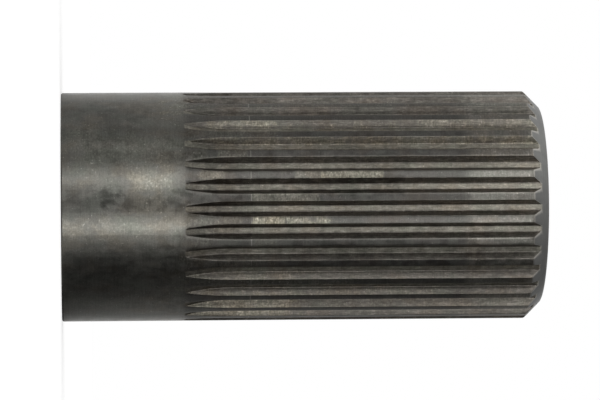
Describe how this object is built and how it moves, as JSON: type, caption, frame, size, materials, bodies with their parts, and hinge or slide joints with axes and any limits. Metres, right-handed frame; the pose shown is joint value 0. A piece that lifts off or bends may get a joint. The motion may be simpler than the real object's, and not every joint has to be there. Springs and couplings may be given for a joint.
{
  "type": "half shaft",
  "caption": "Splined end of a solid steel half shaft: a turned round bar with straight involute splines that run out onto a plain journal, and a chamfered end.",
  "frame": {"origin": "centre of the plain end face, on which the shaft stands", "axes": "+Z along the shaft's axis, from the plain end to the splined end; a tooth space is centred on +X, and one on each of the other three axis directions"},
  "size_m": [0.0496, 0.0496, 0.104],
  "materials": {
    "steel": "dark oxidised, turned"
  },
  "bodies": {
    "root": {"half_shaft": "steel"}
  },
  "joints": []
}
